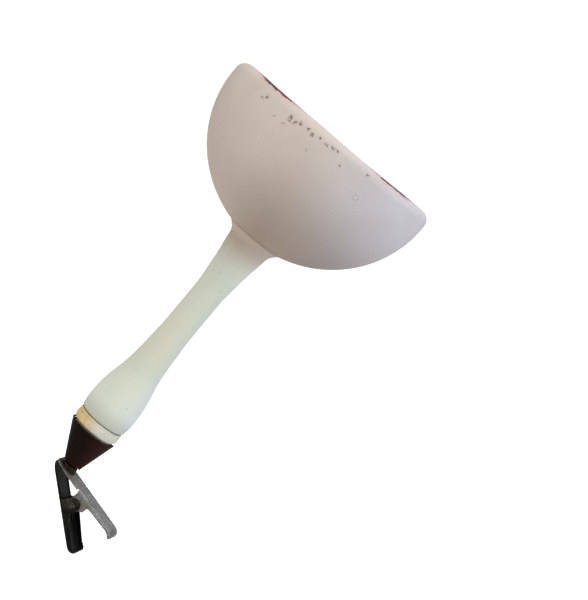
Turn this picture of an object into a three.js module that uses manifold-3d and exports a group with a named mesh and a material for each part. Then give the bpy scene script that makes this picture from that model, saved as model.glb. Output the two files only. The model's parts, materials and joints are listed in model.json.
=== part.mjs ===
// A clip-on tree ornament: a blown-glass mushroom that stands on a cone of close-wound wire,
// soldered to a sprung clip of two stamped levers. Millimetres, +Z up along the mushroom's axis.
// The origin is the place between the clip's jaws where a twig is gripped.
import * as THREE from 'three';
import { mergeVertices } from 'three/addons/utils/BufferGeometryUtils.js';
import Module from 'manifold-3d';

const wasm = await Module();
wasm.setup();

const DEGREE = Math.PI / 180;
const GAP = 0.12;                    // air left between pieces that touch

// Glass cap: a bowl with its round side down, closed by a flat, slightly dished top
const CAP_RIM_Z = 119.5;             // plane of the bowl's rim
const CAP_RADIUS = 33.9;
const CAP_DEPTH = 32.3;              // from the widest circle down to the pole
const CAP_WIDEST_BELOW_RIM = 3.0;
const CAP_TOP_ABOVE_RIM = 1.5;
const CAP_EDGE_RADIUS = 3.0;         // rounding between the side and the top
const CAP_DISH = 0.9;                // how far the middle of the top sinks
const CAP_WALL = 0.7;
const CAP_NECK_RADIUS = 4.2;         // the short glass tube below the pole
const CAP_NECK_END_Z = 77.2;

// Glass stem: radius at each height, from the flared mouth down to the bulb
const STEM_WALL = 0.8;
const STEM_OUTLINE = [               // [z, radius]
  [84.8, 8.1], [83.2, 6.75], [79.4, 6.1], [76.0, 5.53], [70.9, 5.0], [65.9, 4.55],
  [58.8, 4.52], [50.7, 4.57], [47.3, 4.78], [42.2, 5.08], [38.8, 5.4], [35.3, 5.87],
  [31.9, 6.65], [28.5, 7.25], [25.1, 7.58], [21.4, 7.58], [19.1, 7.25],
];
const STEM_TAIL_RADIUS = 4.2;        // the glass tail that goes down into the plaster
const STEM_TAIL_TOP_Z = 17.5;
const STEM_TAIL_END_Z = 11.6;

// Plaster collar between the stem and the coil
const COLLAR_RADIUS = 7.3;
const COLLAR_TOP_Z = 19.0;
const COLLAR_BOTTOM_Z = 15.0;
const PLUG_END_Z = 11.2;

// Conical coil of close-wound wire
const COIL_TURNS = 18;
const COIL_STEPS_PER_TURN = 14;
const WIRE_RADIUS = 0.31;
const COIL_TOP = { z: 14.55, x: 0, radius: 7.0 };
const COIL_FOOT = { z: 3.35, x: 1.4, radius: 2.5 };
const SOLDER_RADIUS = 2.65;
const SOLDER_CORE_HEIGHT = 1.6;

// Clip: everything in it is placed from the coil's foot, rolled about the levers' long way
// and turned about the mushroom's axis
const CLIP_FOOT = new THREE.Vector3(1.5, 0, 1.8);
const CLIP_ROLL = 4 * DEGREE;
const CLIP_TURN = -12 * DEGREE;
const PIN_FROM_FOOT = new THREE.Vector3(8.4, 0, -5.86);
const SHEET = 0.45;                  // thickness of the levers' steel
const BACK_FROM_PIN = 3.93;          // from the pin's axis to a lever's outer face
const EAR_RADIUS = 2.05;
const PIN_RADIUS = 0.6;
const PIN_CLEARANCE = 0.08;
const PIN_HALF_LENGTH = 5.0;
const PIN_HEAD_RADIUS = 0.95;
const PIN_HEAD_THICKNESS = 0.3;

// The carrier lever holds the coil; its ears are inside the pinch lever's ears
const CARRIER = {
  slope: 12.3 * DEGREE, side: 1, halfWidth: 3.7,
  jawEnd: -12.9, jawRise: 0.3, jawCurve: 0.8, fingerEnd: 13.6,
  jawFlange: 0.6, fingerFlange: 1.3, endFlange: 0.9, earFrom: -2.0, earTo: 3.2,
};
const PINCH = {
  slope: 40.6 * DEGREE, side: -1, halfWidth: 4.3,
  jawEnd: -13.0, jawRise: -0.55, jawCurve: 3.0, fingerEnd: 13.5,
  jawFlange: 0.6, fingerFlange: 2.45, endFlange: 1.8, earFrom: -2.05, earTo: 2.3,
};
const FINGER_CURL_FROM = 10.9;       // where a lever starts to curl inwards
const FINGER_CURL = 1.8;             // how far its end has curled

// Torsion spring on the pin
const SPRING_WIRE = 0.25;
const SPRING_RADIUS = 1.2;
const SPRING_FULL_TURNS = 3;
const SPRING_PITCH = 0.66;
const SPRING_LEG = 5.0;
const SPRING_LEG_LEAN = 22 * DEGREE; // how far the legs lean out towards the levers' backs

const material = (color, roughness, metalness = 0) =>
  new THREE.MeshStandardMaterial({ color, roughness, metalness });
const MATERIALS = {
  capGlass: material(0xc4b6ae, 0.6),
  stemGlass: material(0xd2d6c8, 0.65),
  plaster: material(0xe6d6b0, 0.9),
  wire: material(0x2a1512, 0.45, 0.4),
  solder: material(0x6b6560, 0.5, 0.8),
  wornTin: material(0x7c7a74, 0.5, 0.8),
  darkTin: material(0x33342e, 0.55, 0.7),
};

function toSolid(geometry) {
  const bare = geometry.clone();
  bare.deleteAttribute('normal');
  bare.deleteAttribute('uv');
  const merged = mergeVertices(bare, 1e-4);
  const vertProperties = Float32Array.from(merged.attributes.position.array);
  const triVerts = Uint32Array.from(merged.index.array);
  return new wasm.Manifold(new wasm.Mesh({ numProp: 3, vertProperties, triVerts }));
}

function toGeometry(solid) {
  const mesh = solid.getMesh();
  const geometry = new THREE.BufferGeometry();
  geometry.setAttribute('position', new THREE.BufferAttribute(mesh.vertProperties, 3));
  geometry.setIndex(new THREE.BufferAttribute(mesh.triVerts, 1));
  geometry.computeVertexNormals();
  return geometry;
}

function makeMesh(name, geometry, look) {
  const mesh = new THREE.Mesh(geometry, look);
  mesh.name = name;
  return mesh;
}

// Turns an outline of [z, radius] points, given anticlockwise, about the Z axis.
function turned(outline, segments) {
  const points = outline.map(([z, radius]) => new THREE.Vector2(radius, z));
  points.push(points[0].clone());
  return new THREE.LatheGeometry(points, segments).rotateX(Math.PI / 2);
}

// A plate whose outline lies in the XZ plane, centred at y.
function plate(shape, thickness, y = 0) {
  const settings = { depth: thickness, bevelEnabled: false, curveSegments: 6 };
  const geometry = new THREE.ExtrudeGeometry(shape, settings);
  return geometry.rotateX(Math.PI / 2).translate(0, y + thickness / 2, 0);
}

// Points of the bowl's wall from the neck out to the rim; inset moves them inwards.
function bowlSide(inset, steps) {
  const middle = CAP_RIM_Z - CAP_WIDEST_BELOW_RIM;
  const wide = CAP_RADIUS - inset;
  const deep = CAP_DEPTH - inset;
  const start = Math.asin((CAP_NECK_RADIUS - inset) / wide);
  const side = [];
  for (let i = 0; i <= steps; i += 1) {
    const angle = start + (Math.PI / 2 - start) * (i / steps);
    side.push([middle - deep * Math.cos(angle), wide * Math.sin(angle)]);
  }
  return side;
}

// Points of the rounded edge and of the dished top, ending on the axis.
function bowlTop(inset, edgeSteps, dishSteps) {
  const wide = CAP_RADIUS - inset;
  const edge = CAP_EDGE_RADIUS - inset;
  const top = CAP_RIM_Z + CAP_TOP_ABOVE_RIM - inset;
  const points = [];
  for (let i = 1; i <= edgeSteps; i += 1) {
    const angle = (Math.PI / 2) * (i / edgeSteps);
    points.push([top - edge + edge * Math.sin(angle), wide - edge + edge * Math.cos(angle)]);
  }
  for (let i = 1; i <= dishSteps; i += 1) {
    const radius = (wide - edge) * (1 - i / dishSteps);
    const sink = CAP_DISH * 0.5 * (1 + Math.cos(Math.PI * radius / (wide - edge)));
    points.push([top - sink, radius]);
  }
  return points;
}

function makeCap() {
  const outside = [[CAP_NECK_END_Z, CAP_NECK_RADIUS], ...bowlSide(0, 12), ...bowlTop(0, 3, 4)];
  const inside = [
    [CAP_NECK_END_Z, CAP_NECK_RADIUS - CAP_WALL], ...bowlSide(CAP_WALL, 9), ...bowlTop(CAP_WALL, 2, 4),
  ];
  const outline = [...outside, ...inside.reverse()];
  return makeMesh('glass_cap', turned(outline, 40), MATERIALS.capGlass);
}

// The stem's inner radius at a height, a wall's thickness inside the outline.
function stemBore(z) {
  for (let i = 1; i < STEM_OUTLINE.length; i += 1) {
    const [above, outer] = STEM_OUTLINE[i - 1];
    const [below, inner] = STEM_OUTLINE[i];
    if (z >= below) {
      const share = Math.min(1, (z - below) / (above - below));
      return inner + (outer - inner) * share - STEM_WALL;
    }
  }
  return STEM_TAIL_RADIUS - STEM_WALL;
}

function makeStem() {
  const up = [...STEM_OUTLINE].reverse();
  const tail = [[STEM_TAIL_END_Z, STEM_TAIL_RADIUS], [STEM_TAIL_TOP_Z, STEM_TAIL_RADIUS]];
  const bore = up.map(([z]) => [z, stemBore(z)]);
  bore[0] = [STEM_TAIL_TOP_Z + 2.4, STEM_TAIL_RADIUS - STEM_WALL + 2.0];
  const tailBore = [STEM_TAIL_END_Z, STEM_TAIL_RADIUS - STEM_WALL];
  const shoulderBore = [STEM_TAIL_TOP_Z + 0.6, STEM_TAIL_RADIUS - STEM_WALL];
  const outline = [...tail, ...up, ...bore.reverse(), shoulderBore, tailBore];
  return makeMesh('glass_stem', turned(outline, 28), MATERIALS.stemGlass);
}

function makeCapCement() {
  const heights = [77.6, 79.4, 82.4];
  const outer = heights.map((z) => [z, stemBore(z) - GAP]);
  const inner = CAP_NECK_RADIUS + GAP;
  const outline = [[heights[0], inner], ...outer, [heights[2], inner]];
  return makeMesh('cap_joint_cement', turned(outline, 28), MATERIALS.plaster);
}

function makeCollar() {
  const bore = STEM_TAIL_RADIUS + GAP;
  const outline = [
    [PLUG_END_Z, bore], [PLUG_END_Z, 4.7], [COLLAR_BOTTOM_Z - 0.4, 6.15], [COLLAR_BOTTOM_Z, 6.3],
    [COLLAR_BOTTOM_Z + 0.1, 6.9], [COLLAR_BOTTOM_Z + 1.1, COLLAR_RADIUS],
    [COLLAR_BOTTOM_Z + 2.3, COLLAR_RADIUS], [COLLAR_TOP_Z - 0.5, 6.95],
    [STEM_TAIL_TOP_Z - GAP, bore + 0.3], [STEM_TAIL_TOP_Z - 0.5, bore],
  ];
  return makeMesh('plaster_collar', turned(outline, 28), MATERIALS.plaster);
}

// The coil's wire: a helix on a slightly leaning cone.
class ConeHelix extends THREE.Curve {
  getPoint(t, target = new THREE.Vector3()) {
    const angle = 2 * Math.PI * COIL_TURNS * t;
    const radius = THREE.MathUtils.lerp(COIL_FOOT.radius, COIL_TOP.radius, t);
    const x = THREE.MathUtils.lerp(COIL_FOOT.x, COIL_TOP.x, t) + radius * Math.cos(angle);
    const z = THREE.MathUtils.lerp(COIL_FOOT.z, COIL_TOP.z, t);
    return target.set(x, radius * Math.sin(angle), z);
  }
}

function roundSection(radius, sides) {
  const shape = new THREE.Shape();
  for (let i = 0; i < sides; i += 1) {
    const angle = 2 * Math.PI * (i / sides);
    const move = i === 0 ? 'moveTo' : 'lineTo';
    shape[move](radius * Math.cos(angle), radius * Math.sin(angle));
  }
  return shape;
}

function tube(path, radius, sides, steps) {
  const section = roundSection(radius, sides);
  return new THREE.ExtrudeGeometry(section, { extrudePath: path, steps, bevelEnabled: false });
}

function makeCoil() {
  const steps = COIL_TURNS * COIL_STEPS_PER_TURN;
  return makeMesh('coil_spring', tube(new ConeHelix(), WIRE_RADIUS, 5, steps), MATERIALS.wire);
}

// The solder that fixes the coil's foot: a skirt under the first turn and a core inside the
// lowest turns, cut off where the carrier lever's back slopes through it.
function makeSolder() {
  const skirtTop = COIL_FOOT.z - WIRE_RADIUS - GAP;
  const core = COIL_FOOT.radius - WIRE_RADIUS - GAP;
  const outline = [
    [0, 0], [0, SOLDER_RADIUS], [skirtTop - 0.3, SOLDER_RADIUS], [skirtTop, SOLDER_RADIUS - 0.25],
    [skirtTop, core], [skirtTop + SOLDER_CORE_HEIGHT, core * 0.9], [skirtTop + SOLDER_CORE_HEIGHT, 0],
  ];
  const cone = toSolid(turned(outline, 20).translate(COIL_FOOT.x, 0, 0));
  const below = new THREE.BoxGeometry(30, 30, 12).translate(0, 0, GAP - 6);
  below.rotateY(CARRIER.slope).rotateX(CLIP_ROLL).rotateZ(CLIP_TURN).translate(...CLIP_FOOT.toArray());
  return makeMesh('coil_foot_solder', toGeometry(cone.subtract(toSolid(below))), MATERIALS.solder);
}

// A lever's back: a strip of sheet along u, flared or curled at its two ends.
function backStrip(lever) {
  const middle = BACK_FROM_PIN - SHEET / 2;
  const path = new THREE.Path();
  path.moveTo(lever.jawEnd, middle + lever.jawRise);
  path.quadraticCurveTo(lever.jawEnd + lever.jawCurve / 2, middle, lever.jawEnd + lever.jawCurve, middle);
  path.lineTo(FINGER_CURL_FROM, middle);
  path.quadraticCurveTo(lever.fingerEnd - 0.2, middle, lever.fingerEnd, middle - FINGER_CURL);
  const line = path.getPoints(5);
  const outer = [];
  const inner = [];
  line.forEach((point, i) => {
    const before = line[Math.max(0, i - 1)];
    const after = line[Math.min(line.length - 1, i + 1)];
    const along = after.clone().sub(before).normalize();
    const normal = new THREE.Vector2(-along.y, along.x).multiplyScalar(SHEET / 2);
    outer.push(point.clone().add(normal));
    inner.push(point.clone().sub(normal));
  });
  const points = [...outer, ...inner.reverse()];
  return new THREE.Shape(points.map((point) => new THREE.Vector2(point.x, point.y * lever.side)));
}

// A lever's side: a low flange towards the jaws, an ear round the pin and a taller flange
// towards the fingers that runs on into the curled end.
function flangeShape(lever) {
  const back = BACK_FROM_PIN - SHEET / 2;
  const low = BACK_FROM_PIN - lever.jawFlange;
  const tall = BACK_FROM_PIN - lever.fingerFlange;
  const shape = new THREE.Shape();
  const place = (u, w) => [u, w * lever.side];
  shape.moveTo(...place(lever.jawEnd + 3.0, back));
  shape.lineTo(...place(lever.jawEnd + 3.6, low));
  shape.lineTo(...place(lever.earFrom - 0.4, low));
  shape.lineTo(...place(lever.earFrom, low - 0.4));
  const steps = 8;
  for (let i = 0; i <= steps; i += 1) {
    const angle = Math.PI * (1 + i / steps);
    shape.lineTo(...place(EAR_RADIUS * Math.cos(angle), EAR_RADIUS * Math.sin(angle)));
  }
  shape.lineTo(...place(lever.earTo, 0.7));
  shape.lineTo(...place(lever.earTo, tall - 0.4));
  shape.lineTo(...place(lever.earTo + 0.5, tall));
  shape.lineTo(...place(FINGER_CURL_FROM, BACK_FROM_PIN - lever.endFlange));
  shape.lineTo(...place(lever.fingerEnd - SHEET, BACK_FROM_PIN - FINGER_CURL));
  shape.lineTo(...place(lever.fingerEnd - 0.1, BACK_FROM_PIN - FINGER_CURL * 0.6));
  shape.lineTo(...place(lever.fingerEnd - 1.2, back - 0.15));
  shape.lineTo(...place(FINGER_CURL_FROM, back));
  return shape;
}

// The lever's outline seen from its back, used to round its two ends.
function planCutter(lever) {
  const half = lever.halfWidth;
  const shape = new THREE.Shape();
  const corner = 0.75;
  shape.moveTo(lever.jawEnd - 1, -half * corner);
  shape.lineTo(lever.jawEnd + 3.4, -half);
  shape.lineTo(FINGER_CURL_FROM + 1.0, -half);
  shape.quadraticCurveTo(lever.fingerEnd + 0.6, -half, lever.fingerEnd + 0.6, -half * corner);
  shape.lineTo(lever.fingerEnd + 0.6, half * corner);
  shape.quadraticCurveTo(lever.fingerEnd + 0.6, half, FINGER_CURL_FROM + 1.0, half);
  shape.lineTo(lever.jawEnd + 3.4, half);
  shape.lineTo(lever.jawEnd - 1, half * corner);
  const geometry = new THREE.ExtrudeGeometry(shape, { depth: 20, bevelEnabled: false, curveSegments: 6 });
  return geometry.translate(0, 0, -10);
}

function makeLever(name, lever, look) {
  const width = lever.halfWidth * 2;
  const flangeAt = lever.halfWidth - SHEET / 2;
  const strip = toSolid(plate(backStrip(lever), width + 2));
  const left = toSolid(plate(flangeShape(lever), SHEET, flangeAt));
  const right = toSolid(plate(flangeShape(lever), SHEET, -flangeAt));
  const loose = PIN_RADIUS + PIN_CLEARANCE;
  const bore = toSolid(new THREE.CylinderGeometry(loose, loose, 20, 14));
  const cutter = toSolid(planCutter(lever));
  const solid = strip.add(left).add(right).intersect(cutter).subtract(bore);
  return makeMesh(name, toGeometry(solid), look);
}

function makePin() {
  const half = PIN_HALF_LENGTH;
  const neck = half - PIN_HEAD_THICKNESS;
  const outline = [
    [-half, 0], [-half, PIN_HEAD_RADIUS * 0.7], [-neck - 0.05, PIN_HEAD_RADIUS], [-neck, PIN_RADIUS],
    [neck, PIN_RADIUS], [neck + 0.05, PIN_HEAD_RADIUS], [half, PIN_HEAD_RADIUS * 0.7], [half, 0],
  ];
  const geometry = turned(outline, 14).rotateX(Math.PI / 2);
  return makeMesh('pivot_pin', geometry, MATERIALS.wornTin);
}

// The spring's wire: a leg under the carrier's back, turns round the pin, a leg on the pinch lever.
class SpringWire extends THREE.Curve {
  getPoint(t, target = new THREE.Vector3()) {
    const legShare = 0.14;
    const start = 90 * DEGREE - CARRIER.slope + SPRING_LEG_LEAN;
    const end = 270 * DEGREE - PINCH.slope - SPRING_LEG_LEAN + 2 * Math.PI * SPRING_FULL_TURNS;
    const share = THREE.MathUtils.clamp((t - legShare) / (1 - 2 * legShare), 0, 1);
    const angle = THREE.MathUtils.lerp(start, end, share);
    const y = SPRING_PITCH * (SPRING_FULL_TURNS + 0.5) * (share - 0.5);
    const leg = Math.min(0, t - legShare) + Math.max(0, t - 1 + legShare);
    const along = SPRING_LEG * leg / legShare;
    return target.set(
      SPRING_RADIUS * Math.cos(angle) - along * Math.sin(angle),
      y,
      SPRING_RADIUS * Math.sin(angle) + along * Math.cos(angle),
    );
  }
}

function makeTorsionSpring() {
  return makeMesh('torsion_spring', tube(new SpringWire(), SPRING_WIRE, 5, 72), MATERIALS.darkTin);
}

function leverGroup(lever, ...meshes) {
  const group = new THREE.Group();
  group.rotation.y = lever.slope;
  group.add(...meshes);
  return group;
}

function makeClip() {
  const atPin = new THREE.Group();
  atPin.position.copy(PIN_FROM_FOOT);
  atPin.add(leverGroup(CARRIER, makeLever('carrier_lever', CARRIER, MATERIALS.wornTin)));
  atPin.add(leverGroup(PINCH, makeLever('pinch_lever', PINCH, MATERIALS.darkTin)));
  atPin.add(makePin(), makeTorsionSpring());
  const clip = new THREE.Group();
  clip.position.copy(CLIP_FOOT);
  clip.rotation.set(CLIP_ROLL, 0, CLIP_TURN, 'ZYX');
  clip.add(atPin);
  return clip;
}

const ornament = new THREE.Group();
ornament.add(makeCap(), makeCapCement(), makeStem(), makeCollar(), makeCoil(), makeSolder(), makeClip());

export default ornament;
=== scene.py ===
"""Looks of a clip-on tree ornament: a blown-glass mushroom on a cone of wire and a sprung clip.

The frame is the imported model's: +Z up the mushroom's axis, +X towards the levers' finger ends.
Shapes are worked out in millimetres and turned to metres when a mesh is made.
"""

import json
import math

import bpy
import numpy as np
from mathutils import Matrix, Vector, noise
from mathutils.geometry import delaunay_2d_cdt


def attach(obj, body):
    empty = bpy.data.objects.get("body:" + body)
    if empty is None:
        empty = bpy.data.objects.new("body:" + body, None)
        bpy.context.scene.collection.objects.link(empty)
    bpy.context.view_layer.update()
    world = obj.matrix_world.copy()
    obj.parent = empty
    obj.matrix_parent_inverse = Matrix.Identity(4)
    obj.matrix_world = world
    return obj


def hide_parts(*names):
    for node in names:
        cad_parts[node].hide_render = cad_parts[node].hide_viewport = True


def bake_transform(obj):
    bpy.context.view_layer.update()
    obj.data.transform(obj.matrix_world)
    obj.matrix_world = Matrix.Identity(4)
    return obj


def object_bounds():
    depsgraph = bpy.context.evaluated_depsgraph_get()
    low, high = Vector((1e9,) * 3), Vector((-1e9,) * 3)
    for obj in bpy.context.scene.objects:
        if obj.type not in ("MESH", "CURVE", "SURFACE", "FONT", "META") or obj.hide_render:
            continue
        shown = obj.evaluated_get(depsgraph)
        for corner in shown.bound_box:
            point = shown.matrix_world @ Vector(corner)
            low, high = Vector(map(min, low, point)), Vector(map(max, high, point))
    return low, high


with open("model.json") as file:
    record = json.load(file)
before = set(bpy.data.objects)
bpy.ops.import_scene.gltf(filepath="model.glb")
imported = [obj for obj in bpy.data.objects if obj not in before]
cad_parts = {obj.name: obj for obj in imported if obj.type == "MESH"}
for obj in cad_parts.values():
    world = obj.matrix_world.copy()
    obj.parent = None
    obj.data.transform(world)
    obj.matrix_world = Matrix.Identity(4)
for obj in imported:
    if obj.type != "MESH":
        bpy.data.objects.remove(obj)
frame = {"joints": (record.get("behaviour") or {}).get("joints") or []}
CAD_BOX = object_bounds()

MM = 0.001
DEGREE = math.pi / 180

# Glass cap, as in the CAD model
CAP_RIM_Z = 119.5
CAP_RADIUS = 33.9
CAP_DEPTH = 32.3
CAP_WIDEST_BELOW_RIM = 3.0
CAP_TOP_ABOVE_RIM = 1.5
CAP_EDGE_RADIUS = 3.0
CAP_DISH = 0.9
CAP_WALL = 0.7
CAP_NECK_RADIUS = 4.2
CAP_NECK_END_Z = 77.2
EDGE_SAG = 0.7                # how much lower the edge is at front and back than at the sides
EDGE_TILT = 0.3               # how much lower the edge is at +X than at -X

# Glass stem: radius at each height, as in the CAD model
STEM_WALL = 0.8
STEM_OUTLINE = [              # (z, radius)
    (84.8, 8.1), (83.2, 6.75), (79.4, 6.1), (76.0, 5.53), (70.9, 5.0), (65.9, 4.55),
    (58.8, 4.52), (50.7, 4.57), (47.3, 4.78), (42.2, 5.08), (38.8, 5.4), (35.3, 5.87),
    (31.9, 6.65), (28.5, 7.25), (25.1, 7.58), (21.4, 7.58), (19.1, 7.25),
]
STEM_TAIL_RADIUS = 4.2
STEM_TAIL_TOP_Z = 17.5
STEM_TAIL_END_Z = 11.6

# Plaster collar
COLLAR_BOTTOM_Z = 15.0
PLUG_END_Z = 11.2

# Coil and its solder
COIL_TURNS = 18
WIRE_RADIUS = 0.31
COIL_TOP = {"z": 14.55, "x": 0.0, "radius": 7.0}
COIL_FOOT = {"z": 3.35, "x": 1.4, "radius": 2.5}
SOLDER_RADIUS = 2.65
SOLDER_BELOW_WIRE = 0.1

# Clip. The levers' flanges are 0.05 to 0.1 shallower than the CAD model's, to stay inside it.
SHEET = 0.45
SHEET_EDGE_ROUNDING = 0.07
BACK_FROM_PIN = 3.93
EAR_RADIUS = 2.05
PIN_RADIUS = 0.6
PIN_CLEARANCE = 0.08
PIN_HALF_LENGTH = 5.0
PIN_HEAD_RADIUS = 0.95
BEND_RADIUS = 0.85            # outside radius of the fold between a lever's back and its sides
FINGER_CURL_FROM = 10.9
FINGER_CURL = 1.8
CARRIER = {
    "slope": 12.3 * DEGREE, "side": 1, "half_width": 3.7,
    "jaw_end": -12.9, "jaw_rise": 0.3, "jaw_curve": 0.8, "finger_end": 13.6,
    "jaw_flange": 0.5, "finger_flange": 1.2, "end_flange": 0.85, "ear_from": -2.0, "ear_to": 3.2,
    "relief": True,
}
PINCH = {
    "slope": 40.6 * DEGREE, "side": -1, "half_width": 4.3,
    "jaw_end": -13.0, "jaw_rise": -0.55, "jaw_curve": 3.0, "finger_end": 13.5,
    "jaw_flange": 0.5, "finger_flange": 2.4, "end_flange": 1.75, "ear_from": -2.05, "ear_to": 2.3,
    "relief": False,
}
SPRING_WIRE = 0.25
SPRING_RADIUS = 1.2
SPRING_FULL_TURNS = 3
SPRING_PITCH = 0.66
SPRING_LEG = 5.0
SPRING_LEG_LEAN = 22 * DEGREE

HINGE = next(joint for joint in frame["joints"] if joint["name"] == "jaw_hinge")
QUARTER_BEND = BEND_RADIUS * math.pi / 2      # length of flat sheet in one fold of a quarter turn

# Camera and surroundings, in metres
CAMERA_AT = Vector((0.0, -0.440, 0.1137))
CAMERA_AIM = Vector((0.0195, 0.0, 0.0789))
CAMERA_ROLL = 40.1 * DEGREE
CAMERA_LENS = 95.3
WORLD_AS_LIGHT = 0.42
WORLD_AS_SEEN = 1.05
FLOOR_GLOW_AS_SEEN = 0.8
FLOOR_HALF_SIZE = 12.0
FLOOR_BELOW_OBJECT = 0.002


# ---------------------------------------------------------------- mesh helpers

def make_piece(name, points, faces, materials):
    """A smooth mesh object from points in millimetres."""
    mesh = bpy.data.meshes.new(name)
    mesh.from_pydata([tuple(MM * c for c in point) for point in points], [], faces)
    mesh.update()
    mesh.shade_smooth()
    for material in materials:
        mesh.materials.append(material)
    piece = bpy.data.objects.new(name, mesh)
    bpy.context.scene.collection.objects.link(piece)
    return piece


def add_attribute(piece, name, values):
    """Stores one number for each vertex, for the piece's material to read."""
    attribute = piece.data.attributes.new(name, "FLOAT", "POINT")
    attribute.data.foreach_set("value", np.asarray(values, np.float32))


def lathe(name, outline, segments, materials, warp=None):
    """Turns a closed outline of (z, radius) about the Z axis; warp moves each point (x, y, z).

    An outline that ends on the axis at both ends is closed there by a fan of triangles.
    """
    rings = [point for point in outline if point[1] > 1e-6]
    on_axis = [point for point in (outline[0], outline[-1]) if point[1] <= 1e-6]
    points = []
    for z, radius in rings:
        for i in range(segments):
            angle = 2 * math.pi * i / segments
            points.append((radius * math.cos(angle), radius * math.sin(angle), z))
    faces = []
    pairs = len(rings) - 1 if on_axis else len(rings)
    for ring in range(pairs):
        low = ring * segments
        high = (ring + 1) % len(rings) * segments
        for i in range(segments):
            after = (i + 1) % segments
            faces.append((low + i, low + after, high + after, high + i))
    for z, _ in on_axis:
        tip = len(points)
        points.append((0.0, 0.0, z))
        first = (z, 0.0) == outline[0]
        base = 0 if first else (len(rings) - 1) * segments
        for i in range(segments):
            after = (i + 1) % segments
            face = (base + i, tip, base + after) if first else (base + i, base + after, tip)
            faces.append(face)
    if warp:
        points = [warp(*point) for point in points]
    return make_piece(name, points, faces, materials)


def smooth_radius(outline, z):
    """The radius at height z on a smooth curve through an outline of falling heights."""
    count = len(outline)
    for i in range(1, count):
        if z >= outline[i][0] or i == count - 1:
            break
    z0, r0 = outline[max(i - 2, 0)]
    z1, r1 = outline[i - 1]
    z2, r2 = outline[i]
    z3, r3 = outline[min(i + 1, count - 1)]
    share = min(1.0, max(0.0, (z1 - z) / (z1 - z2)))
    slope1 = (r2 - r0) / (z0 - z2) * (z1 - z2)
    slope2 = (r3 - r1) / (z1 - z3) * (z1 - z2)
    square = share * share
    cube = square * share
    return (
        (2 * cube - 3 * square + 1) * r1 + (cube - 2 * square + share) * slope1
        + (3 * square - 2 * cube) * r2 + (cube - square) * slope2
    )


def smoothstep(value, low, high):
    """0 below low, 1 above high, and smooth between them."""
    share = min(1.0, max(0.0, (value - low) / (high - low)))
    return share * share * (3 - 2 * share)


def tube(name, path, radius, sides, materials):
    """A round tube along points in millimetres, with rounded ends."""
    path = [Vector(point) for point in path]
    points = []
    faces = []
    normal = None
    for i, centre in enumerate(path):
        along = (path[min(i + 1, len(path) - 1)] - path[max(i - 1, 0)]).normalized()
        if normal is None:
            normal = along.orthogonal().normalized()
        normal = (normal - along * normal.dot(along)).normalized()
        across = along.cross(normal)
        for side in range(sides):
            angle = 2 * math.pi * side / sides
            points.append(centre + radius * (math.cos(angle) * normal + math.sin(angle) * across))
    for i in range(len(path) - 1):
        for side in range(sides):
            after = (side + 1) % sides
            low = i * sides
            faces.append((low + side, low + after, low + sides + after, low + sides + side))
    start = len(points)
    points.append(path[0] - 0.6 * radius * (path[1] - path[0]).normalized())
    points.append(path[-1] + 0.6 * radius * (path[-1] - path[-2]).normalized())
    last = (len(path) - 1) * sides
    for side in range(sides):
        after = (side + 1) % sides
        faces.append((after, side, start))
        faces.append((last + side, last + after, start + 1))
    return make_piece(name, points, faces, materials)


# ---------------------------------------------------------------- material helpers

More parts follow.
